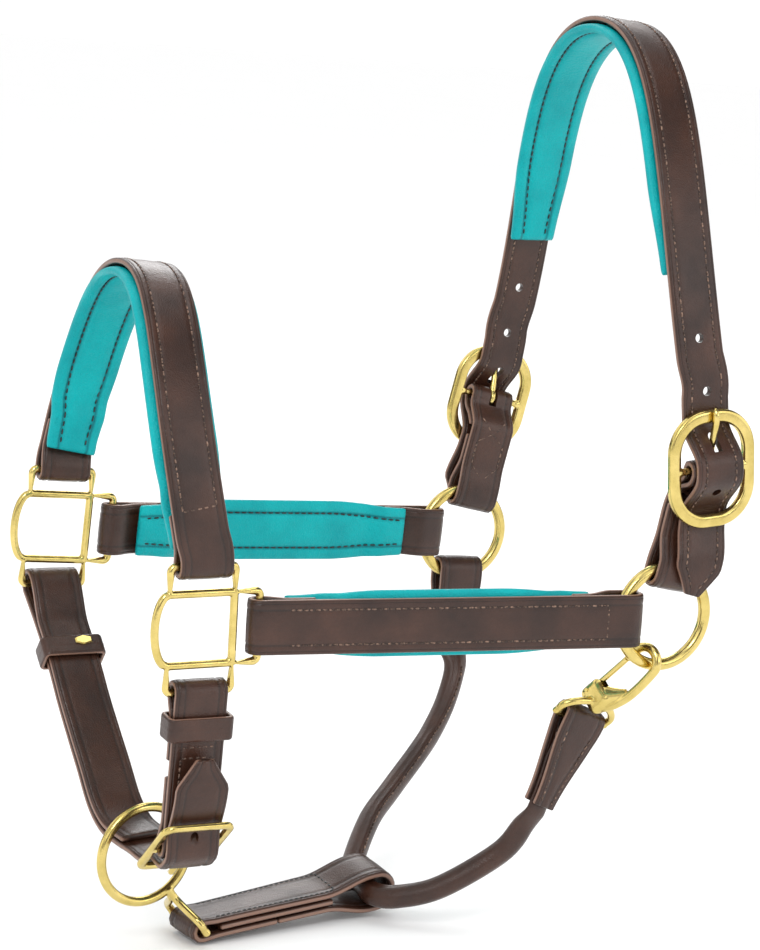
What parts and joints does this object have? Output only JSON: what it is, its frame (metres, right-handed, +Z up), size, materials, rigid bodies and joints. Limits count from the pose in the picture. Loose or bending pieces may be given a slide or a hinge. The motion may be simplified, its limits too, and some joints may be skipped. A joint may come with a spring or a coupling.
{
  "type": "leather headcollar",
  "caption": "Padded leather headcollar with a buckled crown, cheek straps, noseband, chin strap and a throat roll with a snap.",
  "frame": {"origin": "midway between the centres of the two cheek rings", "axes": "+X from the nose to the poll, +Y from the near side to the far side, +Z up to the crown"},
  "size_m": [0.3049, 0.2376, 0.4442],
  "materials": {
    "brown_leather": "brown bridle leather, satin, fine grain, stitched in tan thread",
    "turquoise_leather": "soft turquoise leather over a padded filling, pebbled, satin",
    "brass": "cast brass, polished, lightly rounded edges"
  },
  "bodies": {
    "noseband_frame": {"noseband_strap": "brown_leather", "noseband_padding": "turquoise_leather", "near_cheek_strap": "brown_leather", "far_cheek_strap": "brown_leather", "near_cheek_padding": "turquoise_leather", "far_cheek_padding": "turquoise_leather", "near_halter_square": "brass", "far_halter_square": "brass", "chin_strap": "brown_leather", "chin_chape": "brown_leather", "chin_buckle": "brass", "chin_fixed_keeper": "brown_leather", "keeper_staple": "brass"},
    "crown": {"crown_strap": "brown_leather", "crown_padding": "turquoise_leather", "near_crown_chape": "brown_leather", "far_crown_chape": "brown_leather", "near_crown_buckle": "brass", "far_crown_buckle": "brass"},
    "near_crown_tongue": {"near_crown_buckle_tongue": "brass"},
    "far_crown_tongue": {"far_crown_buckle_tongue": "brass"},
    "chin_tongue": {"chin_buckle_tongue": "brass"},
    "near_ring": {"near_cheek_ring": "brass"},
    "far_ring": {"far_cheek_ring": "brass"},
    "sliding_keeper": {"chin_sliding_keeper": "brown_leather"},
    "throat": {"throat_roll": "brown_leather", "throat_ring_tab": "brown_leather", "throat_snap_tab": "brown_leather", "snap_body": "brass", "snap_gate_pin": "brass"},
    "gate": {"snap_gate": "brass"},
    "chin_ring": {"chin_ring": "brass"},
    "connector": {"connector_strap": "brown_leather", "connector_filler": "brown_leather"}
  },
  "joints": [
    {"name": "crown_hinge", "type": "hinge", "parent": "noseband_frame", "child": "crown", "pos_m": [0, 0, 0], "axis": [0, 1, 0], "range_deg": [-10, 60]},
    {"name": "near_ring_spin", "type": "hinge", "parent": "noseband_frame", "child": "near_ring", "pos_m": [0, -0.1, 0], "axis": [0, 1, 0], "continuous": true},
    {"name": "far_ring_spin", "type": "hinge", "parent": "noseband_frame", "child": "far_ring", "pos_m": [0, 0.1, 0], "axis": [0, 1, 0], "continuous": true},
    {"name": "near_crown_tongue_lift", "type": "hinge", "parent": "crown", "child": "near_crown_tongue", "pos_m": [0.01336, -0.1096, 0.07278], "axis": [0.9945, 0, 0.1045], "range_deg": [0, 4]},
    {"name": "far_crown_tongue_lift", "type": "hinge", "parent": "crown", "child": "far_crown_tongue", "pos_m": [0.01602, 0.1096, 0.07225], "axis": [-0.9763, 0, 0.2164], "range_deg": [0, 4]},
    {"name": "chin_tongue_lift", "type": "hinge", "parent": "noseband_frame", "child": "chin_tongue", "pos_m": [-0.22562, -0.07, -0.1045], "axis": [-1, 0, 0], "range_deg": [0, 4]},
    {"name": "keeper_slide", "type": "slide", "parent": "noseband_frame", "child": "sliding_keeper", "axis": [0, 0.063, -0.998], "range_m": [0, 0.004]},
    {"name": "throat_hinge", "type": "hinge", "parent": "noseband_frame", "child": "throat", "pos_m": [0, 0, 0], "axis": [0, 1, 0], "range_deg": [-2.5, 2.5]},
    {"name": "snap_gate_hinge", "type": "hinge", "parent": "throat", "child": "gate", "pos_m": [-0.02011, -0.07512, -0.04139], "axis": [-0.9272, -0.3534, 0.1242], "range_deg": [-15, 0], "stiffness_Nm_per_rad": 0.02},
    {"name": "chin_ring_turn", "type": "hinge", "parent": "noseband_frame", "child": "chin_ring", "pos_m": [-0.2275, -0.028, -0.1218], "axis": [-0.1392, 0.9903, 0], "range_deg": [-9, 9]},
    {"name": "connector_hinge", "type": "hinge", "parent": "chin_ring", "child": "connector", "pos_m": [-0.20032, -0.02418, -0.15995], "axis": [-0.1392, 0.9903, 0], "range_deg": [-14.1, 14.1]}
  ],
  "couplings": [
    {"joint": "chin_ring_turn", "follows": "throat_hinge", "ratio": 3.536},
    {"joint": "connector_hinge", "follows": "throat_hinge", "ratio": -5.611}
  ]
}
